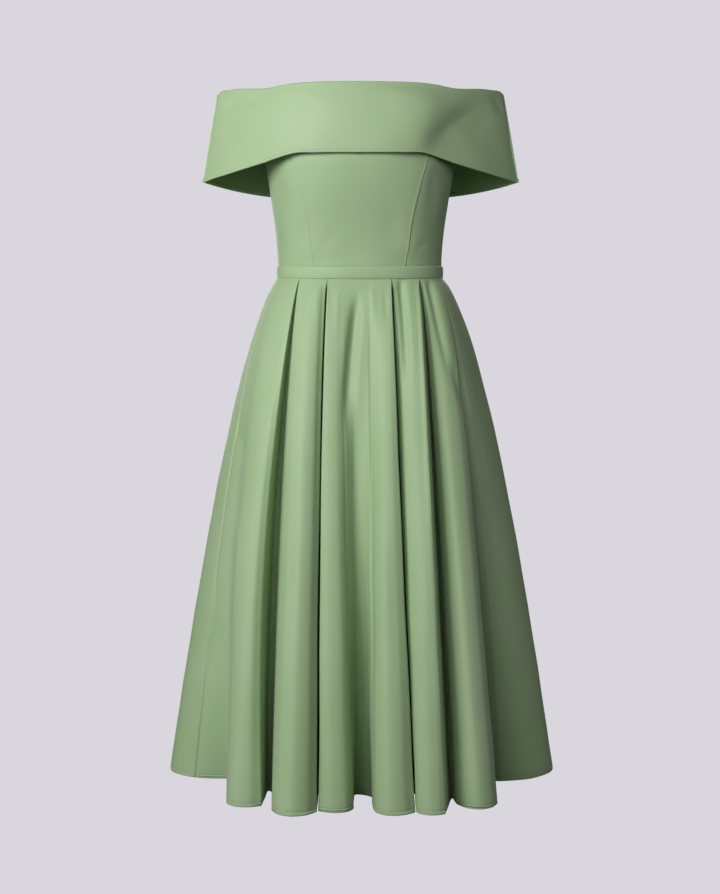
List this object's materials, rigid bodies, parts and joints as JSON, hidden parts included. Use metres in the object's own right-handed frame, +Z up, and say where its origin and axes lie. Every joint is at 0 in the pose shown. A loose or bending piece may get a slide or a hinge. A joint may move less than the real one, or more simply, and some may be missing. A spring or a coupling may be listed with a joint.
{
  "type": "strapless off-the-shoulder midi dress",
  "caption": "Off-the-shoulder midi dress in smooth crepe: fold-over collar, fitted princess-seamed bodice, narrow waistband, flared pleated skirt and a concealed side zip. Hollow, in worn form.",
  "frame": {"origin": "centre of the waist, at half the height of the waistband", "axes": "+Z up along the body, -Y towards the front of the dress, +X towards the wearer's left"},
  "size_m": [0.5707, 0.5254, 0.9988],
  "materials": {
    "crepe": "matte satin crepe",
    "zip_tape": "woven tape",
    "zip_metal": "satin enamel"
  },
  "bodies": {
    "dress": {"bodice_front": "crepe", "bodice_side_front_left": "crepe", "bodice_side_front_right": "crepe", "bodice_side_back_left": "crepe", "bodice_side_back_right": "crepe", "bodice_back": "crepe", "waistband_front": "crepe", "waistband_back": "crepe", "skirt_front": "crepe", "skirt_back": "crepe", "collar_front": "crepe", "collar_back": "crepe", "zip_tape": "zip_tape", "zip_slider": "zip_metal"},
    "zip_pull": {"zip_pull": "zip_metal"}
  },
  "joints": [
    {"name": "zip_pull_swing", "type": "hinge", "parent": "dress", "child": "zip_pull", "pos_m": [0.14197, 0, 0.16766], "axis": [0, -1, 0], "range_deg": [-3, 165]}
  ]
}
